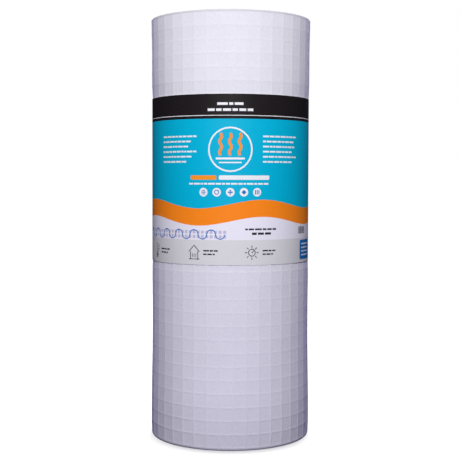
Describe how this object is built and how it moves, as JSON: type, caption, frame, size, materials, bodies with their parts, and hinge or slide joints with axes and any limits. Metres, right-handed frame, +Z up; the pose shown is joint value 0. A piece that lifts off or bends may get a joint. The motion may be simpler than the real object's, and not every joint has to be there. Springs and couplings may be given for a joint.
{
  "type": "underfloor heating mat",
  "caption": "Standing roll of studded underfloor heating mat, wound fleece outwards on no core, with a printed paper sleeve round its middle.",
  "frame": {"origin": "centre of the roll's bottom end, on the floor", "axes": "+Z up the roll's axis; the roll is round, so +X and +Y only set where the sleeve's print faces: its front looks along -Y"},
  "size_m": [0.3824, 0.3824, 1],
  "materials": {
    "fleece": "pale lavender non-woven fleece, quilted in squares",
    "studded_sheet": "milky translucent formed polypropylene",
    "sleeve_print": "satin coated paper, printed in black, blue, orange and pale grey"
  },
  "bodies": {
    "root": {"mat_roll": "fleece", "paper_sleeve": "sleeve_print"}
  },
  "joints": []
}
